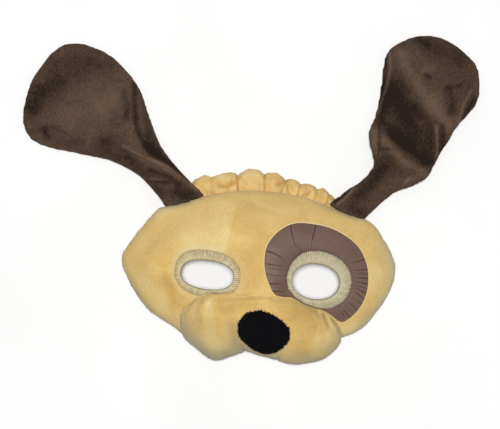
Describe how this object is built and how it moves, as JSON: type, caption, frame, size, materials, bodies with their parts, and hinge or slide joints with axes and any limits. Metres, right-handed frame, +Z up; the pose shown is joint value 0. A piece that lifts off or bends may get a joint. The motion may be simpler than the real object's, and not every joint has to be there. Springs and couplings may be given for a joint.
{
  "type": "dog half mask",
  "caption": "Padded plush dog half mask, hollow behind, with stitched eye holes, a stuffed muzzle, a pile nose, a satin eye patch, floppy ears and a gathered elastic strap worn round the head",
  "frame": {"origin": "on the surface that the mask lies on, under the middle of its overall box", "axes": "the mask lies face up: +X to the right of someone who looks at the face, +Y towards the forehead and ears, +Z up out of the face"},
  "size_m": [0.2823, 0.2021, 0.0495],
  "materials": {
    "cream_plush": "short cream pile",
    "brown_plush": "short dark brown pile",
    "black_pile": "curly black pile",
    "brown_satin": "smooth brown satin",
    "cream_thread": "close cream stitching"
  },
  "bodies": {
    "root": {"face_panel": "cream_plush", "muzzle": "cream_plush", "nose": "black_pile", "eye_border_left": "cream_thread", "eye_border_right": "cream_thread", "eye_patch": "brown_satin", "patch_edge": "cream_thread", "ear_left": "brown_plush", "ear_right": "brown_plush", "head_strap": "cream_plush"}
  },
  "joints": []
}
